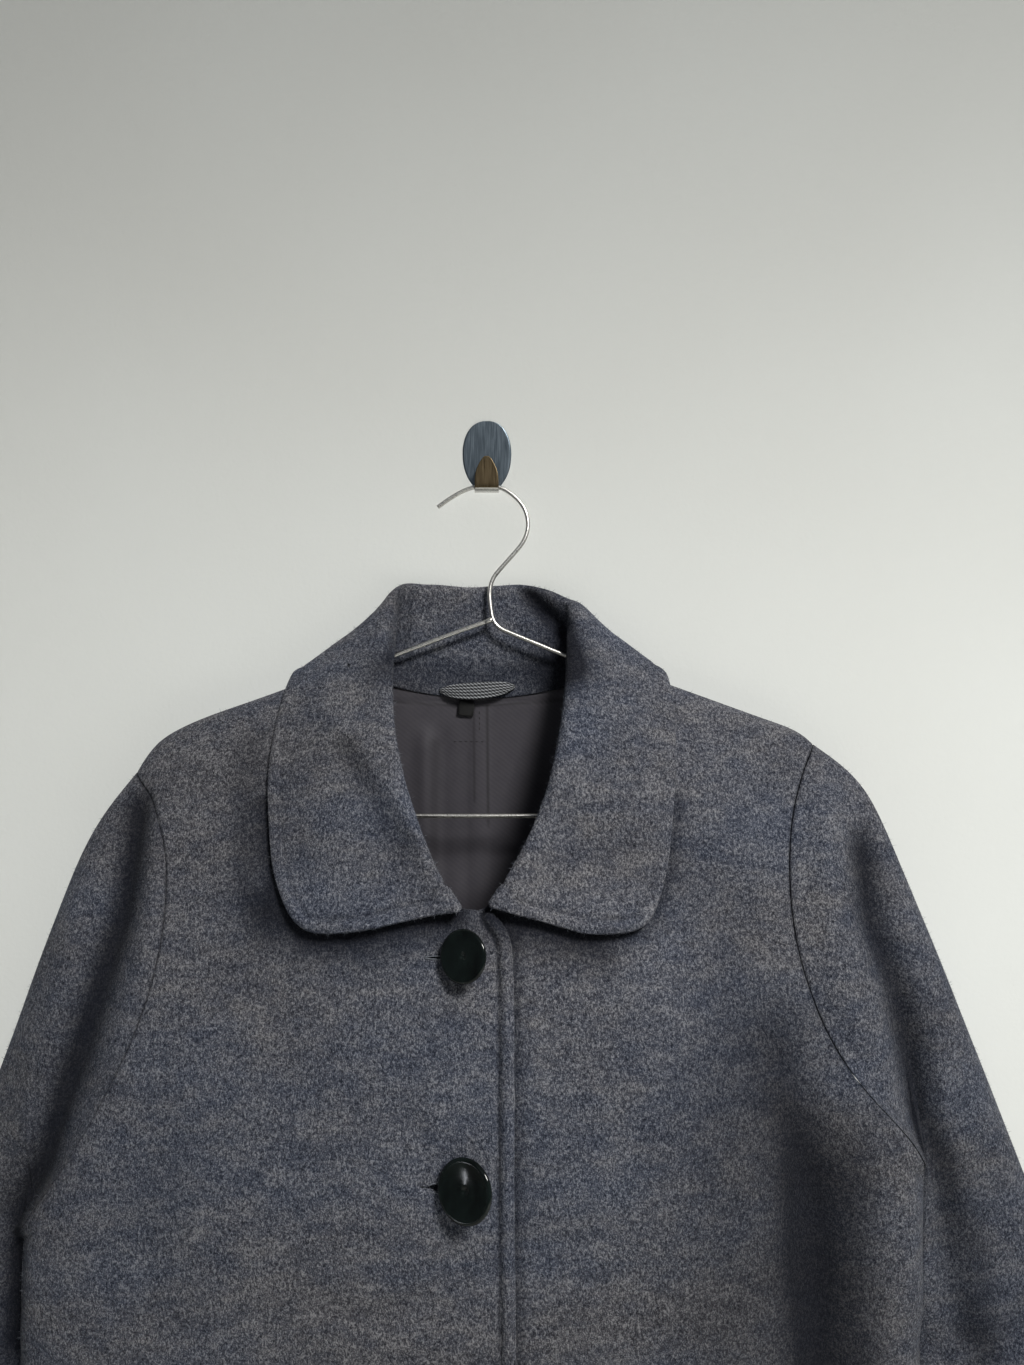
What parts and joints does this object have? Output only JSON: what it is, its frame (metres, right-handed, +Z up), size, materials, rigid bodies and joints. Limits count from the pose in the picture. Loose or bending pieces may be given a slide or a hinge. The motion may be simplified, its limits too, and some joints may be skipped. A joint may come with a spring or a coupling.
{
  "type": "wool overcoat on a wire hanger and wall hook",
  "caption": "Buttoned boiled-wool overcoat with a deep round collar and set-in sleeves, open at neck, cuffs and hem, hanging on a wire hanger from an oval steel wall hook.",
  "frame": {"origin": "centre of the hook pad's back face, on the wall", "axes": "+X to the right seen from the room, +Y into the wall, +Z up"},
  "size_m": [0.871, 0.1282, 1.0733],
  "materials": {
    "wool": "grey-blue boiled wool",
    "lining": "taupe twill",
    "knit": "grey knitted tape",
    "satin": "black satin",
    "resin": "polished",
    "wire": "polished",
    "steel": "brushed",
    "foam": "foam pad"
  },
  "bodies": {
    "root": {"back": "wool", "front_left": "wool", "front_right": "wool", "sleeve_left": "wool", "sleeve_right": "wool", "collar": "wool", "lining_back": "lining", "hang_loop": "knit", "neck_label": "satin", "button_1": "resin", "button_2": "resin", "button_3": "resin", "button_4": "resin", "hanger": "wire", "wall_hook": "steel", "hook_pad": "foam"}
  },
  "joints": []
}
